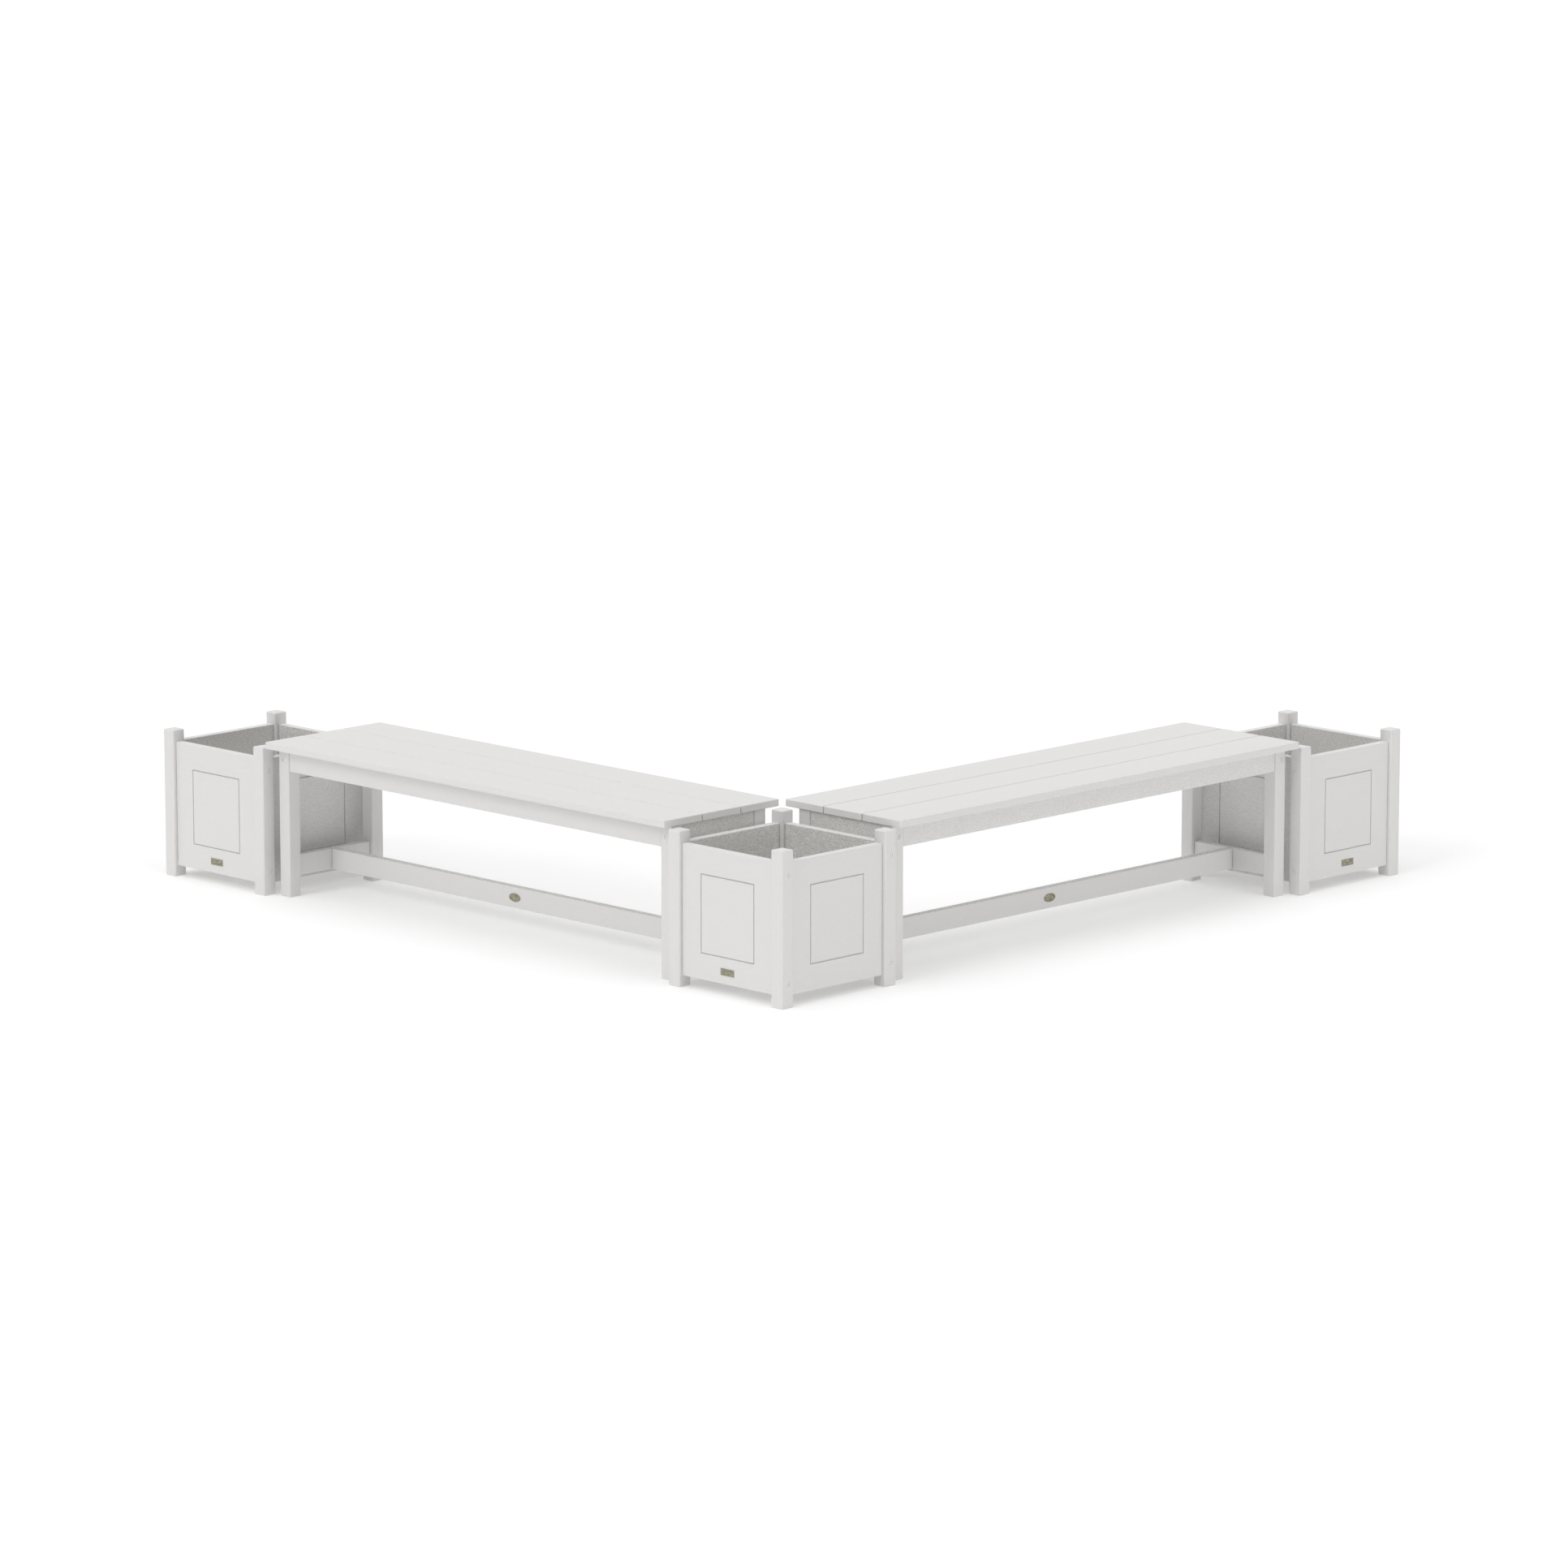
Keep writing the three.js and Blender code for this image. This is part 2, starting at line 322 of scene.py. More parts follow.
def set_stops(ramp, stops):
    """Gives a colour ramp its stops, each a place and a grey value."""
    while len(ramp.elements) < len(stops):
        ramp.elements.new(1.0)
    for element, (place, value) in zip(ramp.elements, stops):
        element.position = place
        element.color = grey(value)


def new_material(name):
    """A material, its first Shade and the inputs of its Principled BSDF."""
    material = bpy.data.materials.new(name)
    material.use_nodes = True
    return material, Shade(material.node_tree), material.node_tree.nodes["Principled BSDF"].inputs


def marks(sheet, axis, size, detail=MARK_DETAIL):
    """Noise drawn out along one axis, with marks of a given length and width."""
    run, across = size
    scale = [1 / across] * 3
    scale[axis] = 1 / run
    place = sheet.add("ShaderNodeTexCoord", output="Object")
    drawn = sheet.add("ShaderNodeMapping", inputs={"Vector": place, "Scale": scale})
    inputs = {"Vector": drawn, "Scale": 1.0, "Detail": detail, "Roughness": MARK_ROUGHNESS}
    return sheet.add("ShaderNodeTexNoise", inputs=inputs)


def lumber_material(axis, grade="white"):
    """White plastic lumber, brushed along axis 0, 1 or 2. Its grade is white, shaded or coarse; the last
    two are painted shade, as stronger or darker grain.
    """
    name = f"{grade}_lumber_along_" + "xyz"[axis]
    if name in bpy.data.materials:
        return bpy.data.materials[name]
    finish = bpy.context.scene.garden_lumber
    plain, dark, strength, grit_size = {
        "white": (finish.colour, finish.shade, finish.grain, STREAKS),
        "shaded": (finish.coarse_colour, finish.coarse_shade, finish.shaded_grain, COARSE_AND_SHADE_STREAKS),
        "coarse": (finish.coarse_colour, finish.coarse_shade, finish.coarse_grain, COARSE_AND_SHADE_STREAKS),
    }[grade]
    material, sheet, surface = new_material(name)
    streaks = marks(sheet, axis, STREAKS)
    hairs = marks(sheet, axis, HAIRS)
    pores = marks(sheet, axis, PORES, detail=0.0)
    pits = sheet.add("ShaderNodeValToRGB", {"stops": PIT_STOPS}, {0: pores})
    grit = marks(sheet, axis, grit_size)
    tone = sheet.add("ShaderNodeValToRGB", {"stops": TONE_STOPS}, {0: grit})
    feed(surface["Base Color"], sheet.mix((tone + pits) * strength, (*plain, 1), (*dark, 1)))
    smoothest = finish.roughness - LUMBER_GLOSS_SPREAD / 2
    feed(surface["Roughness"], streaks * LUMBER_GLOSS_SPREAD + smoothest)
    height = streaks * STREAK_RELIEF + hairs * HAIR_RELIEF - pits * PIT_RELIEF
    bump = {"Height": height, "Distance": finish.grain_height}
    feed(surface["Normal"], sheet.add("ShaderNodeBump", inputs=bump))
    return material


def screw_material():
    """White paint on the screw heads, with fine unevenness."""
    screws = bpy.context.scene.garden_screws
    material, sheet, surface = new_material("white_screw_paint")
    speckle = marks(sheet, 0, PAINT_SPECKLE)
    worn = [(1 - screws.wear) * channel for channel in screws.colour]
    feed(surface["Base Color"], sheet.mix(speckle * PAINT_MOTTLE, (*screws.colour, 1), (*worn, 1)))
    feed(surface["Roughness"], speckle * PAINT_GLOSS_SPREAD + screws.roughness)
    bump = {"Height": speckle, "Distance": screws.unevenness}
    feed(surface["Normal"], sheet.add("ShaderNodeBump", inputs=bump))
    return material


def plate_material(axis, grade):
    """Pale bronze, brushed along the plate's length. Its grade is brushed, or aged by darker stains."""
    name = f"{grade}_bronze_along_" + "xyz"[axis]
    if name in bpy.data.materials:
        return bpy.data.materials[name]
    plates = bpy.context.scene.garden_plates
    strength = {"brushed": plates.stains, "aged": plates.aged_stains}[grade]
    material, sheet, surface = new_material(name)
    brush = marks(sheet, axis, PLATE_BRUSHING)
    stains = sheet.add("ShaderNodeValToRGB", {"stops": STAIN_STOPS}, {0: marks(sheet, axis, PLATE_STAINS)})
    darkness = stains * strength + brush * PLATE_MOTTLE
    feed(surface["Base Color"], sheet.mix(darkness, (*plates.colour, 1), (*plates.patina, 1)))
    feed(surface["Metallic"], plates.metallic)
    feed(surface["Roughness"], brush * PLATE_GLOSS_SPREAD + plates.roughness)
    bump = {"Height": brush, "Distance": plates.brush_height}
    feed(surface["Normal"], sheet.add("ShaderNodeBump", inputs=bump))
    return material


def out_of(name, side):
    """The outward direction of a member's local side: -1 or 1 along its local X ("x") or Y ("y") axis."""
    axis, sign = side
    local = Vector((sign, 0, 0)) if axis == "x" else Vector((0, sign, 0))
    if name in TURNED_MEMBERS:
        local = Matrix.Rotation(math.pi / 2, 3, "Z") @ local
    return Vector([round(value) for value in local])


def long_axis(low, high, level=False):
    """The axis of a board's longest side, or of its longest level side."""
    sides = list(high - low)
    return max(range(2 if level else 3), key=lambda axis: sides[axis])


def cage_box(low, high):
    """A plain box between two corners."""
    cage = bmesh.new()
    spread = Matrix.Translation((low + high) / 2) @ Matrix.Diagonal((*(high - low), 1))
    bmesh.ops.create_cube(cage, size=1, matrix=spread)
    return cage


def rounded_box(low, high, radius):
    """A box with every edge rounded."""
    cage = cage_box(low, high)
    steps = bpy.context.scene.garden_lumber.round_steps
    bmesh.ops.bevel(cage, geom=cage.edges[:], offset=radius, offset_type="OFFSET", segments=steps,
                    profile=0.5, affect="EDGES", clamp_overlap=True)
    return cage


def face_towards(cage, direction):
    """The largest face that looks in a direction."""
    looking = [face for face in cage.faces if face.normal.dot(direction) > SQUARE_ON]
    return max(looking, key=lambda face: face.calc_area())


def to_object(cage, name):
    """A bmesh made into an object, with its faces pointing out."""
    bmesh.ops.recalc_face_normals(cage, faces=cage.faces[:])
    mesh = bpy.data.meshes.new(name)
    cage.to_mesh(mesh)
    cage.free()
    piece = bpy.data.objects.new(name, mesh)
    bpy.context.scene.collection.objects.link(piece)
    return piece


def bake_modifiers(piece):
    """Turns a piece's modifiers into its mesh."""
    graph = bpy.context.evaluated_depsgraph_get()
    baked = bpy.data.meshes.new_from_object(piece.evaluated_get(graph), depsgraph=graph)
    piece.modifiers.clear()
    spare = piece.data
    piece.data = baked
    bpy.data.meshes.remove(spare)
    baked.name = piece.name


def carve(piece, cutters):
    """Cuts closed bmeshes out of a piece."""
    for number, cutter in enumerate(cutters):
        tool = to_object(cutter, f"{piece.name}_cutter_{number}")
        cut = piece.modifiers.new("cut", "BOOLEAN")
        cut.operation = "DIFFERENCE"
        cut.solver = "EXACT"
        cut.object = tool
        bake_modifiers(piece)
        bpy.data.objects.remove(tool)


def smooth(piece, sharp_angle=BOARD_SHARP_ANGLE):
    """Shades a piece smooth with its flat faces kept flat."""
    piece.data.shade_smooth()
    piece.data.set_sharp_from_angle(angle=sharp_angle)
    weighted = piece.modifiers.new("flat_faces", "WEIGHTED_NORMAL")
    weighted.keep_sharp = True
    bake_modifiers(piece)


def stand_for(piece, node, axis, coarse_and_shade_side=None):
    """A finished board takes the place of its CAD node. It may be coarse on one side, where the darker
    grain is painted shade, and a side in a bench's shade gets stronger grain as painted shade.
    """
    smooth(piece)
    piece.data.materials.clear()
    main_grade = "coarse" if node.endswith(COARSE_AND_SHADE_PIECES) else "white"
    piece.data.materials.append(lumber_material(axis, main_grade))
    sides = [(coarse_and_shade_side, "coarse")] if coarse_and_shade_side else []
    if node in SHADED_SIDES:
        member = next(name for name in (*PLANTERS, *BENCHES) if node.startswith(name))
        sides.append((out_of(member, SHADED_SIDES[node]), "shaded"))
    for slot, (side, grade) in enumerate(sides, 1):
        piece.data.materials.append(lumber_material(axis, grade))
        for face in piece.data.polygons:
            if face.normal.dot(side) > SAME_SIDE:
                face.material_index = slot
    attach(piece, BODY)
    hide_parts(node)


def screw_places():
    """Where the screw heads sit, as {node: [(point on the face, direction out of it)]}."""
    screws = bpy.context.scene.garden_screws
    places = {}
    for planter in PLANTERS:
        for face in ("front", "back"):
            panel_low, panel_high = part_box(f"{planter}_{face}_panel")
            middle = (panel_low + panel_high) / 2
            for end, sign in (("left", -1), ("right", 1)):
                post = f"{planter}_{face}_{end}_post"
                normal = out_of(planter, ("x", sign))
                point = face_point(post, middle, normal)
                post_low, post_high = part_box(post)
                places[post] = []
                for height in (post_low.z + screws.post_inset, post_high.z - screws.post_inset):
                    places[post].append((Vector((point.x, point.y, height)), normal))
    for bench in BENCHES:
        for face, sign in (("front", -1), ("back", 1)):
            apron_low, apron_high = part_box(f"{bench}_{face}_apron")
            normal = out_of(bench, ("y", sign))
            for end in ("left", "right"):
                leg = f"{bench}_{face}_{end}_leg"
                leg_low, leg_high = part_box(leg)
                point = face_point(leg, (leg_low + leg_high) / 2, normal)
                point.z = (apron_low.z + apron_high.z) / 2
                places[leg] = [(point, normal)]
    return places


def face_point(node, across, normal):
    """A point moved onto a node's outer face along a level direction."""
    low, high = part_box(node)
    axis = 0 if normal.x else 1
    point = across.copy()
    point[axis] = high[axis] if normal[axis] > 0 else low[axis]
    return point


def pocket(point, normal, diameter, depth):
    """A round cutter let into a face."""
    turn = normal.to_track_quat("Z", "Y").to_matrix().to_4x4()
    middle = point + normal * (OVERRUN - depth) / 2
    cutter = bmesh.new()
    bmesh.ops.create_cone(cutter, cap_ends=True, segments=POCKET_SIDES, radius1=diameter / 2,
                          radius2=diameter / 2, depth=depth + OVERRUN,
                          matrix=Matrix.Translation(middle) @ turn)
    return cutter


class GARDENSET_OT_posts(bpy.types.Operator):
    """Make the planters' posts and the benches' legs, with the pockets for their screws."""

    bl_idname = "garden_set.posts"
    bl_label = "Posts and Legs"

    def execute(self, context):
        radius = context.scene.garden_lumber.post_round
        screws = context.scene.garden_screws
        for node, places in screw_places().items():
            low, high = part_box(node)
            post = to_object(rounded_box(low, high, radius), node + "_lumber")
            carve(post, [pocket(point, normal, screws.pocket_diameter, screws.pocket_depth)
                         for point, normal in places])
            stand_for(post, node, long_axis(low, high))
        return {"FINISHED"}


def inset_face(cage, face, sideways, rise):
    """Draws a face in from its edges by one length, and out by another."""
    bmesh.ops.inset_individual(cage, faces=[face], thickness=sideways, depth=rise, use_even_offset=True)


def rout_rectangle(cage, face, inset, width, depth, steps):
    """Routs a round-bottomed groove round a face, at an even distance from its edge."""
    inset_face(cage, face, inset - width / 2, 0)
    turns = [math.pi * step / steps for step in range(steps + 1)]
    for start, end in zip(turns, turns[1:]):
        sideways = width / 2 * (math.cos(start) - math.cos(end))
        down = depth * (math.sin(end) - math.sin(start))
        inset_face(cage, face, sideways, -down)


def housing_cutter(planter, low, high):
    """The cutter for the slot across a panel's inner side, which takes the floor slats' tongues."""
    joints = bpy.context.scene.garden_joints
    slat_low, slat_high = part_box(f"{planter}_floor_slat_1")
    along = long_axis(low, high, level=True)
    axis = 1 - along
    cut_low, cut_high = low.copy(), high.copy()
    cut_low.z = slat_low.z - joints.clearance
    cut_high.z = slat_low.z + joints.tongue_thickness + joints.clearance
    cut_low[along] -= OVERRUN
    cut_high[along] += OVERRUN
    if slat_high[axis] > high[axis]:
        cut_low[axis] = slat_low[axis] - joints.clearance
        cut_high[axis] += OVERRUN
    else:
        cut_low[axis] -= OVERRUN
        cut_high[axis] = slat_high[axis] + joints.clearance
    return cage_box(cut_low, cut_high)


class GARDENSET_OT_panels(bpy.types.Operator):
    """Make the planters' side panels, each with its routed rectangle."""

    bl_idname = "garden_set.panels"
    bl_label = "Side Panels"

    def execute(self, context):
        lumber = context.scene.garden_lumber
        groove = context.scene.garden_groove
        sides = {"front": ("y", -1), "right": ("x", 1), "back": ("y", 1), "left": ("x", -1)}
        for planter in PLANTERS:
            for face, side in sides.items():
                node = f"{planter}_{face}_panel"
                low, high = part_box(node)
                cage = rounded_box(low, high, lumber.board_round)
                outer = face_towards(cage, out_of(planter, side))
                rout_rectangle(cage, outer, groove.inset - lumber.board_round, groove.width, groove.depth,
                               groove.steps)
                panel = to_object(cage, node + "_lumber")
                if face in ("front", "back"):
                    carve(panel, [housing_cutter(planter, low, high)])
                # The inner side gets the coarse grade, whose darker grain is painted shade inside the
                # planter.
                stand_for(panel, node, long_axis(low, high, level=True), -out_of(planter, side))
        return {"FINISHED"}


def rebate_cutters(low, high, axis):
    """The cutters that leave a tongue at each end of a slat, along its lower side."""
    joints = bpy.context.scene.garden_joints
    cutters = []
    for start, end in ((low[axis] - OVERRUN, low[axis] + joints.tongue_length),
                       (high[axis] - joints.tongue_length, high[axis] + OVERRUN)):
        cut_low = low - Vector([OVERRUN] * 3)
        cut_high = high + Vector([OVERRUN] * 3)
        cut_low.z = low.z + joints.tongue_thickness
        cut_low[axis], cut_high[axis] = start, end
        cutters.append(cage_box(cut_low, cut_high))
    return cutters


class GARDENSET_OT_floors(bpy.types.Operator):
    """Make the planters' floor slats, with a tongue at each end."""

    bl_idname = "garden_set.floors"
    bl_label = "Planter Floors"

    def execute(self, context):
        radius = context.scene.garden_lumber.board_round
        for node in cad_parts:
            if "_floor_slat_" in node:
                low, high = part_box(node)
                axis = long_axis(low, high, level=True)
                slat = to_object(rounded_box(low, high, radius), node + "_lumber")
                carve(slat, rebate_cutters(low, high, axis))
                stand_for(slat, node, axis)
        return {"FINISHED"}


class GARDENSET_OT_rails(bpy.types.Operator):
    """Make the benches' aprons, stretchers and seat battens."""

    bl_idname = "garden_set.rails"
    bl_label = "Bench Rails"

    def execute(self, context):
        radius = context.scene.garden_lumber.board_round
        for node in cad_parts:
            if node.endswith(("_apron", "_stretcher", "_batten")):
                low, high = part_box(node)
                rail = to_object(rounded_box(low, high, radius), node + "_lumber")
                # A stretcher's top lies in the seat's shade and gets the coarse grade, whose darker grain
                # is painted shade.
                stand_for(rail, node, long_axis(low, high), UP if node.endswith("_stretcher") else None)
        return {"FINISHED"}


class GARDENSET_OT_seats(bpy.types.Operator):
    """Make the benches' seat boards."""

    bl_idname = "garden_set.seats"
    bl_label = "Seat Boards"

    def execute(self, context):
        radius = context.scene.garden_lumber.seat_round
        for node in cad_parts:
            if "_seat_board_" in node:
                low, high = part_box(node)
                board = to_object(rounded_box(low, high, radius), node + "_lumber")
                stand_for(board, node, long_axis(low, high))
        return {"FINISHED"}


def screw_tree():
    """Geometry Nodes that put a crowned screw head with a hexagonal drive on each point."""
    tree = bpy.data.node_groups.new("screw_heads", "GeometryNodeTree")
    tree.interface.new_socket("Geometry", in_out="INPUT", socket_type="NodeSocketGeometry")
    for name in ("Head Diameter", "Head Height", "Drive Width", "Drive Depth"):
        tree.interface.new_socket(name, in_out="INPUT", socket_type="NodeSocketFloat")
    tree.interface.new_socket("Paint", in_out="INPUT", socket_type="NodeSocketMaterial")
    tree.interface.new_socket("Geometry", in_out="OUTPUT", socket_type="NodeSocketGeometry")
    sheet = Shade(tree)
    points, diameter, height, drive_width, drive_depth, paint = [
        sheet.add("NodeGroupInput", output=name) for name in
        ("Geometry", "Head Diameter", "Head Height", "Drive Width", "Drive Depth", "Paint")]

    # A ball of diameter 1 is stretched into the crown, whose lower half is lost in the post.
    ball = sheet.add("GeometryNodeMeshUVSphere", inputs={
        "Segments": HEAD_SEGMENTS, "Rings": HEAD_RINGS, "Radius": 0.5})
    spread = sheet.add("ShaderNodeCombineXYZ", inputs={"X": diameter, "Y": diameter, "Z": height * 2.0})
    crown = sheet.add("GeometryNodeTransform", inputs={"Geometry": ball, "Scale": spread})
    # A hexagon's corners are its width across the flats over the root of 3 away from its middle.
    drive_radius = sheet.math("DIVIDE", drive_width, math.sqrt(3))
    drive = sheet.add("GeometryNodeMeshCylinder", {"fill_type": "NGON"}, {
        "Vertices": DRIVE_SIDES, "Radius": drive_radius, "Depth": drive_depth})
    lift = sheet.add("ShaderNodeCombineXYZ", inputs={"Z": height})
    raised = sheet.add("GeometryNodeTransform", inputs={"Geometry": drive, "Translation": lift})
    bored = sheet.add("GeometryNodeMeshBoolean", {"operation": "DIFFERENCE", "solver": "EXACT"}, {
        "Mesh 1": crown, "Mesh 2": raised})
    smoothed = sheet.add("GeometryNodeSetShadeSmooth", inputs={"Geometry": bored})
    facing = sheet.add("GeometryNodeInputNamedAttribute", {"data_type": "FLOAT_VECTOR"}, {
        "Name": FACING})
    turn = sheet.add("FunctionNodeAlignRotationToVector", {"axis": "Z"}, {"Vector": facing})
    heads = sheet.add("GeometryNodeInstanceOnPoints", inputs={
        "Points": points, "Instance": smoothed, "Rotation": turn})
    real = sheet.add("GeometryNodeRealizeInstances", inputs={"Geometry": heads})
    painted = sheet.add("GeometryNodeSetMaterial", inputs={"Geometry": real, "Material": paint})
    sheet.add("NodeGroupOutput", inputs={"Geometry": painted})
    return tree


def screw_set(name, places, paint):
    """One mesh of screw heads, with each head's middle on the floor of its pocket."""
    screws = bpy.context.scene.garden_screws
    mesh = bpy.data.meshes.new(name)
    mesh.from_pydata([point - normal * screws.pocket_depth for point, normal in places], [], [])
    facing = mesh.attributes.new(FACING, "FLOAT_VECTOR", "POINT")
    facing.data.foreach_set("vector", [value for _, normal in places for value in normal])
    piece = bpy.data.objects.new(name, mesh)
    bpy.context.scene.collection.objects.link(piece)
    heads = piece.modifiers.new("heads", "NODES")
    heads.node_group = bpy.data.node_groups.get("screw_heads") or screw_tree()
    values = {"Head Diameter": screws.head_diameter, "Head Height": screws.head_height,
              "Drive Width": screws.drive_width, "Drive Depth": 2 * screws.head_height, "Paint": paint}
    for item in heads.node_group.interface.items_tree:
        if item.in_out == "INPUT" and item.name in values:
            heads[item.identifier] = values[item.name]
    bake_modifiers(piece)
    piece.data.set_sharp_from_angle(angle=SCREW_SHARP_ANGLE)
    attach(piece, BODY)


class GARDENSET_OT_screws(bpy.types.Operator):
    """Make the screw heads in the posts and legs, one mesh for each planter or bench."""

    bl_idname = "garden_set.screws"
    bl_label = "Screws"

    def execute(self, context):
        paint = screw_material()
        for member in (*PLANTERS, *BENCHES):
            places = [place for node, found in screw_places().items() if node.startswith(member)
                      for place in found]
            screw_set(member + "_screws", places, paint)
        return {"FINISHED"}


def rounded_outline(width, height, radius):
    """A rectangle with round corners, as points round the origin."""
    points = []
    for quarter, (x, y) in enumerate(((1, 1), (-1, 1), (-1, -1), (1, -1))):
        for step in range(CORNER_STEPS + 1):
            turn = math.pi / 2 * (quarter + step / CORNER_STEPS)
            points.append((x * (width / 2 - radius) + radius * math.cos(turn),
                           y * (height / 2 - radius) + radius * math.sin(turn)))
    return points


def oval_outline(width, height):
    """An ellipse, as points round the origin."""
    turns = [2 * math.pi * step / OVAL_SIDES for step in range(OVAL_SIDES)]
    return [(width / 2 * math.cos(turn), height / 2 * math.sin(turn)) for turn in turns]


def plate(name, outline, centre, normal):
    """A thin plate on a face, with a raised rim round a sunken bare field."""
    sizes = bpy.context.scene.garden_plates
    side = UP.cross(normal)
    cage = bmesh.new()
    back = cage.faces.new([cage.verts.new(centre + side * x + UP * y) for x, y in outline])
    made = bmesh.ops.extrude_face_region(cage, geom=[back])
    lifted = [part for part in made["geom"] if isinstance(part, bmesh.types.BMVert)]
    bmesh.ops.translate(cage, verts=lifted, vec=normal * (sizes.thickness - sizes.rim_rise))
    bmesh.ops.recalc_face_normals(cage, faces=cage.faces[:])
    front = face_towards(cage, normal)
    slope = sizes.rim_rise
    for sideways, rise in ((slope, slope), (sizes.rim - 2 * slope, 0), (slope, -slope)):
        inset_face(cage, front, sideways, rise)
    front.material_index = 1
    piece = to_object(cage, name)
    axis = 0 if side.x else 1
    for grade in ("brushed", "aged"):
        piece.data.materials.append(plate_material(axis, grade))
    smooth(piece, PLATE_SHARP_ANGLE)
    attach(piece, BODY)


class GARDENSET_OT_plates(bpy.types.Operator):
    """Make the bare plates on the planters' front panels and the benches' centre stretchers."""

    bl_idname = "garden_set.plates"
    bl_label = "Plates"

    def execute(self, context):
        sizes = context.scene.garden_plates
        for planter in PLANTERS:
            node = planter + "_front_panel"
            low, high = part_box(node)
            normal = out_of(planter, ("y", -1))
            centre = face_point(node, (low + high) / 2, normal)
            centre.z = low.z + sizes.plate_rise
            outline = rounded_outline(sizes.plate_width, sizes.plate_height, sizes.corner_round)
            plate(planter + "_plate", outline, centre, normal)
        for bench in BENCHES:
            node = bench + "_centre_stretcher"
            low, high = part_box(node)
            normal = out_of(bench, ("y", -1))
            centre = face_point(node, (low + high) / 2, normal)
            outline = oval_outline(sizes.oval_width, sizes.oval_height)
            plate(bench + "_plate", outline, centre, normal)
        return {"FINISHED"}


def direction(azimuth, elevation):
    """The direction towards something seen round the set: azimuth 0 is out along -Y."""
    level = math.cos(elevation)
    return Vector((math.sin(azimuth) * level, -math.cos(azimuth) * level, math.sin(elevation)))


def to_viewer(sheet):
    """1 for rays that reach the camera straight, or by a mirror or glass."""
    straight, mirrored, through = [
        sheet.add("ShaderNodeLightPath", output=name) for name in
        ("Is Camera Ray", "Is Glossy Ray", "Is Transmission Ray")]
    return sheet.math("MINIMUM", straight + mirrored + through, 1.0)


def make_floor():
    """A wide white floor that keeps the set's shadow."""
    stage = bpy.context.scene.garden_stage
    cage = bmesh.new()
    bmesh.ops.create_circle(cage, cap_ends=True, segments=FLOOR_SIDES, radius=FLOOR_RADIUS)
    floor = to_object(cage, "studio_floor")
    material, sheet, surface = new_material("studio_floor_white")
    for name, value in (("Base Color", grey(stage.floor_bounce)), ("Roughness", 1.0),
                        ("Specular IOR Level", 0.0), ("Emission Color", WHITE),
                        ("Emission Strength", stage.floor_glow)):
        feed(surface[name], value)
    lit = sheet.add("ShaderNodeBsdfDiffuse", inputs={"Color": grey(stage.shadow_depth)})
    glow = sheet.add("ShaderNodeEmission", inputs={"Color": WHITE, "Strength": stage.shadow_fill})
    seen = sheet.add("ShaderNodeAddShader", inputs={0: lit, 1: glow})
    bounced = Shade(sheet.tree, sheet.tree.nodes["Principled BSDF"].outputs["BSDF"])
    shown = sheet.add("ShaderNodeMixShader", inputs={0: to_viewer(sheet), 1: bounced, 2: seen})
    feed(sheet.tree.nodes["Material Output"].inputs["Surface"], shown)
    floor.data.materials.append(material)


def make_sky(strength):
    """Light that is strongest straight above and fades to the horizon, behind a white background."""
    world = bpy.data.worlds.new("studio_sky")
    world.use_nodes = True
    sheet = Shade(world.node_tree)
    towards = sheet.add("ShaderNodeTexCoord", output="Generated")
    height = sheet.add("ShaderNodeSeparateXYZ", inputs={"Vector": towards}, output="Z")
    up = sheet.math("MAXIMUM", height, 0.0)
    light = sheet.add("ShaderNodeBackground", inputs={"Color": WHITE, "Strength": up * up * strength})
    seen = sheet.add("ShaderNodeBackground", inputs={"Color": WHITE, "Strength": 1.0})
    shown = sheet.add("ShaderNodeMixShader", inputs={0: to_viewer(sheet), 1: light, 2: seen})
    feed(sheet.tree.nodes["World Output"].inputs["Surface"], shown)
    bpy.context.scene.world = world


def make_lamp(name, azimuth, elevation, softness, strength):
    """A soft distant lamp."""
    sun = bpy.data.lights.new(name, "SUN")
    sun.energy = strength
    sun.angle = math.radians(softness)
    lamp = bpy.data.objects.new(name, sun)
    towards = direction(math.radians(azimuth), math.radians(elevation))
    lamp.rotation_euler = towards.to_track_quat("Z", "Y").to_euler()
    bpy.context.scene.collection.objects.link(lamp)


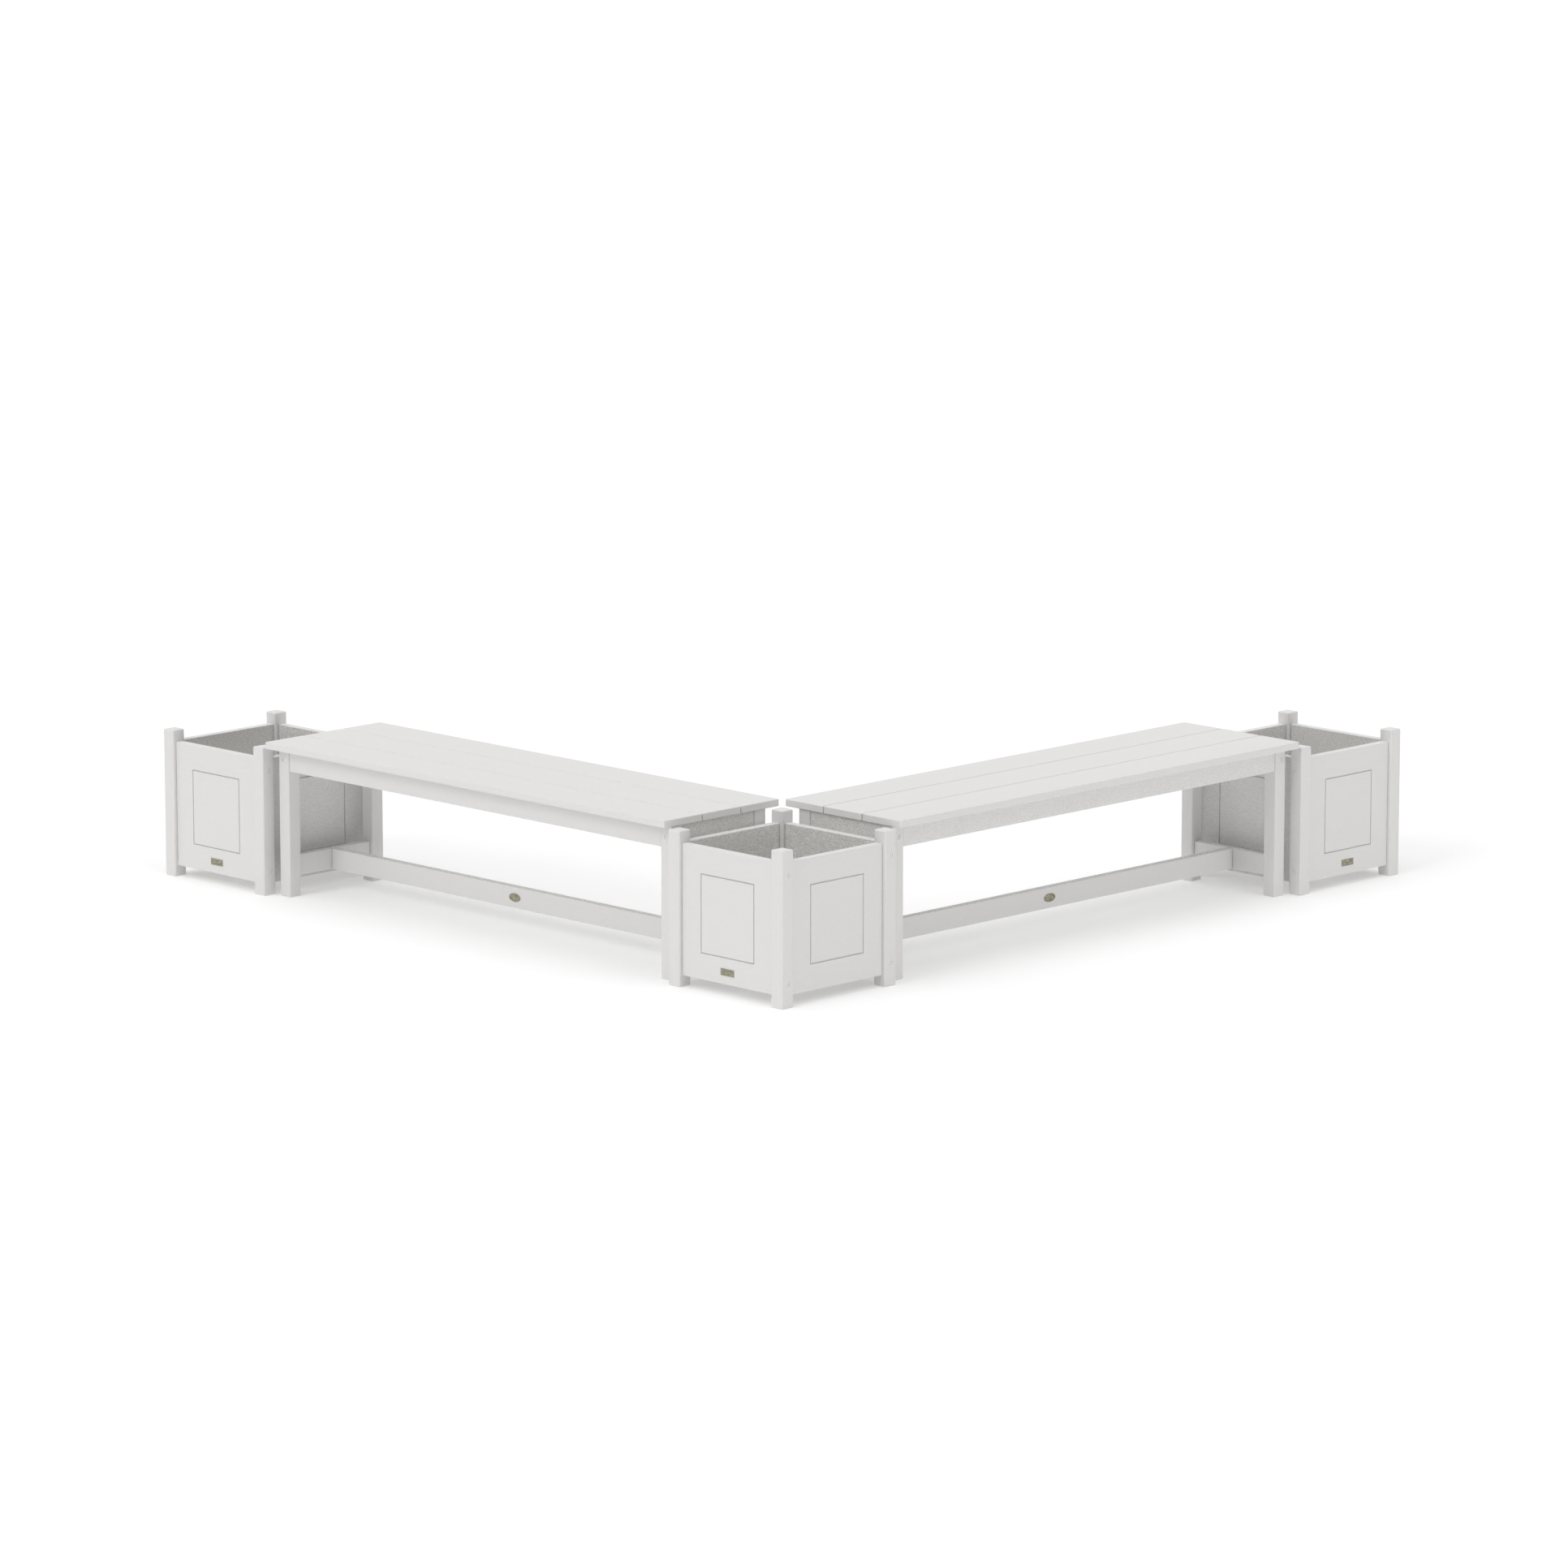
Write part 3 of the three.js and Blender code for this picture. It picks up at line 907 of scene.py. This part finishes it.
class GARDENSET_OT_stage(bpy.types.Operator):
    """Make the floor, the sky, the soft lamps and the camera."""

    bl_idname = "garden_set.stage"
    bl_label = "Stage"

    def execute(self, context):
        stage = context.scene.garden_stage
        make_floor()
        make_sky(stage.sky)
        for name, azimuth, elevation, softness, strength in LAMPS:
            make_lamp(name, azimuth, elevation, softness, strength * stage.lamps)

        back = direction(stage.azimuth, stage.elevation)
        optics = bpy.data.cameras.new("studio_camera")
        optics.sensor_width = SENSOR_WIDTH
        optics.lens = stage.lens
        optics.clip_start = CLIP_START
        optics.clip_end = CLIP_END
        camera = bpy.data.objects.new("studio_camera", optics)
        camera.location = Vector(stage.aim) + back * stage.distance
        camera.rotation_euler = back.to_track_quat("Z", "Y").to_euler()
        context.scene.collection.objects.link(camera)
        context.scene.camera = camera
        context.scene.view_settings.view_transform = "Standard"
        return {"FINISHED"}


SETTINGS = {
    "garden_lumber": GARDENSET_PG_lumber,
    "garden_joints": GARDENSET_PG_joints,
    "garden_groove": GARDENSET_PG_groove,
    "garden_screws": GARDENSET_PG_screws,
    "garden_plates": GARDENSET_PG_plates,
    "garden_stage": GARDENSET_PG_stage,
}
STEPS = (
    GARDENSET_OT_posts,
    GARDENSET_OT_panels,
    GARDENSET_OT_floors,
    GARDENSET_OT_rails,
    GARDENSET_OT_seats,
    GARDENSET_OT_screws,
    GARDENSET_OT_plates,
    GARDENSET_OT_stage,
)


class GARDENSET_PT_sidebar(bpy.types.Panel):
    """Lists the set's sizes and the steps that make it."""

    bl_label = "Garden Set"
    bl_idname = "GARDENSET_PT_sidebar"
    bl_space_type = "VIEW_3D"
    bl_region_type = "UI"
    bl_category = "Garden Set"

    def draw(self, context):
        for name, group in SETTINGS.items():
            box = self.layout.box()
            box.label(text=name.removeprefix("garden_").title())
            for field in group.__annotations__:
                box.prop(getattr(context.scene, name), field)
        for step in STEPS:
            self.layout.operator(step.bl_idname)


CLASSES = (*SETTINGS.values(), *STEPS, GARDENSET_PT_sidebar)


def register():
    """Adds the classes and the scene's groups of settings to Blender."""
    for entry in CLASSES:
        bpy.utils.register_class(entry)
    for name, group in SETTINGS.items():
        setattr(bpy.types.Scene, name, PointerProperty(type=group))


def unregister():
    """Takes away what register adds."""
    for name in SETTINGS:
        delattr(bpy.types.Scene, name)
    for entry in reversed(CLASSES):
        bpy.utils.unregister_class(entry)


def main():
    """Makes the stage and the set."""
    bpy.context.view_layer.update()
    register()
    bpy.ops.garden_set.stage()
    bpy.ops.garden_set.posts()
    bpy.ops.garden_set.panels()
    bpy.ops.garden_set.floors()
    bpy.ops.garden_set.rails()
    bpy.ops.garden_set.seats()
    bpy.ops.garden_set.screws()
    bpy.ops.garden_set.plates()


if __name__ == "__main__":
    main()
